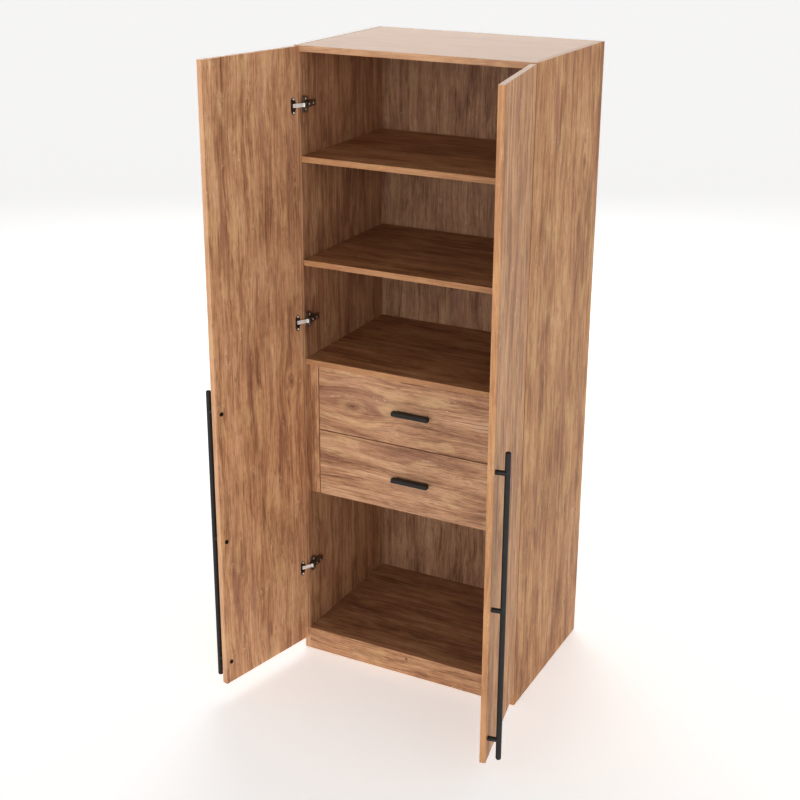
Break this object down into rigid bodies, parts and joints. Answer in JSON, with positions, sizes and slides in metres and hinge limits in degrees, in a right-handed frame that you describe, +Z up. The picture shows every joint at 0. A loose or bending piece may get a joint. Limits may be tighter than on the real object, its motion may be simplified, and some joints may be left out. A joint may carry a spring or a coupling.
{
  "type": "armoire",
  "caption": "Tall freestanding armoire with open double doors, long upright bar handles, stacked shelves and inner drawers over an open base compartment.",
  "frame": {"origin": "on the floor, at the centre of the carcass's footprint without its doors", "axes": "+Z up; the front faces -Y; +X is to the right of someone facing the open front"},
  "size_m": [0.981, 0.9085, 2],
  "materials": {
    "laminate_upright": "matt wood-grain laminate, grain upright",
    "laminate_across": "matt wood-grain laminate, grain across",
    "back_board": "thin printed hardboard",
    "drawer_board": "foil-wrapped chipboard",
    "handle_black": "matt black powder coat",
    "hinge_nickel": "nickel-plated pressed steel",
    "runner_steel": "zinc-plated folded steel",
    "screw_steel": "dark zinc-plated steel",
    "zinc": "die-cast zinc",
    "dowel_wood": "bare beech",
    "glide_plastic": "moulded plastic",
    "bumper_plastic": "soft clear-white plastic"
  },
  "bodies": {
    "carcass": {"back_panel": "back_board", "bottom_panel": "laminate_across", "cam_locks": "zinc", "door_bumper": "bumper_plastic", "dowels": "dowel_wood", "drawer_shelf": "laminate_across", "filler_left": "laminate_upright", "filler_right": "laminate_upright", "floor_glides": "glide_plastic", "hinge_arms_left": "hinge_nickel", "hinge_arms_right": "hinge_nickel", "hinge_plates_left": "hinge_nickel", "hinge_plates_right": "hinge_nickel", "hinge_screws_left": "hinge_nickel", "hinge_screws_right": "hinge_nickel", "lower_runner_cabinet": "runner_steel", "plinth_back": "laminate_across", "plinth_front": "laminate_across", "runner_packer_left": "laminate_upright", "runner_packer_right": "laminate_upright", "shelf_pins": "zinc", "side_panel_left": "laminate_upright", "side_panel_right": "laminate_upright", "top_panel": "laminate_across", "upper_runner_cabinet": "runner_steel", "upper_shelf": "laminate_across"},
    "left_door": {"left_door_bar": "handle_black", "left_door_handle_screws": "screw_steel", "left_door_hinge_cups": "hinge_nickel", "left_door_panel": "laminate_upright", "left_door_standoffs": "handle_black"},
    "right_door": {"right_door_bar": "handle_black", "right_door_handle_screws": "screw_steel", "right_door_hinge_cups": "hinge_nickel", "right_door_panel": "laminate_upright", "right_door_standoffs": "handle_black"},
    "left_hinge_links": {"left_door_hinge_links": "hinge_nickel"},
    "right_hinge_links": {"right_door_hinge_links": "hinge_nickel"},
    "upper_drawer": {"upper_drawer_back": "drawer_board", "upper_drawer_bottom": "drawer_board", "upper_drawer_front": "laminate_across", "upper_drawer_pull": "handle_black", "upper_drawer_pull_posts": "handle_black", "upper_drawer_pull_screws": "screw_steel", "upper_drawer_side_left": "drawer_board", "upper_drawer_side_right": "drawer_board", "upper_runner_drawer": "runner_steel"},
    "upper_runner_slides": {"upper_runner_middle": "runner_steel"},
    "lower_drawer": {"lower_drawer_back": "drawer_board", "lower_drawer_bottom": "drawer_board", "lower_drawer_front": "laminate_across", "lower_drawer_pull": "handle_black", "lower_drawer_pull_posts": "handle_black", "lower_drawer_pull_screws": "screw_steel", "lower_drawer_side_left": "drawer_board", "lower_drawer_side_right": "drawer_board", "lower_runner_drawer": "runner_steel"},
    "lower_runner_slides": {"lower_runner_middle": "runner_steel"},
    "middle_shelf": {"middle_shelf": "laminate_across"}
  },
  "joints": [
    {"name": "left_door_hinge", "type": "hinge", "parent": "carcass", "child": "left_door", "pos_m": [-0.3741, -0.2763, 1.024], "axis": [0, 0, -1], "range_deg": [-102, 1.5]},
    {"name": "left_hinge_links_turn", "type": "hinge", "parent": "carcass", "child": "left_hinge_links", "pos_m": [-0.35, -0.261, 1.162], "axis": [0, 0, -1], "range_deg": [-122.4, 1.8]},
    {"name": "right_door_hinge", "type": "hinge", "parent": "carcass", "child": "right_door", "pos_m": [0.3741, -0.2763, 1.024], "axis": [0, 0, 1], "range_deg": [-100.5, 3]},
    {"name": "right_hinge_links_turn", "type": "hinge", "parent": "carcass", "child": "right_hinge_links", "pos_m": [0.35, -0.261, 1.162], "axis": [0, 0, 1], "range_deg": [-120.6, 3.6]},
    {"name": "upper_drawer_slide", "type": "slide", "parent": "carcass", "child": "upper_drawer", "axis": [0, -1, 0], "range_m": [0, 0.38]},
    {"name": "upper_runner_slide", "type": "slide", "parent": "carcass", "child": "upper_runner_slides", "axis": [0, -1, 0], "range_m": [0, 0.19]},
    {"name": "lower_drawer_slide", "type": "slide", "parent": "carcass", "child": "lower_drawer", "axis": [0, -1, 0], "range_m": [0, 0.38]},
    {"name": "lower_runner_slide", "type": "slide", "parent": "carcass", "child": "lower_runner_slides", "axis": [0, -1, 0], "range_m": [0, 0.19]},
    {"name": "middle_shelf_draws_out", "type": "slide", "parent": "carcass", "child": "middle_shelf", "axis": [0, -1, 0], "range_m": [0, 0.4]}
  ],
  "couplings": [
    {"joint": "left_hinge_links_turn", "follows": "left_door_hinge", "ratio": 1.2},
    {"joint": "right_hinge_links_turn", "follows": "right_door_hinge", "ratio": 1.2},
    {"joint": "upper_runner_slide", "follows": "upper_drawer_slide", "ratio": 0.5},
    {"joint": "lower_runner_slide", "follows": "lower_drawer_slide", "ratio": 0.5}
  ]
}
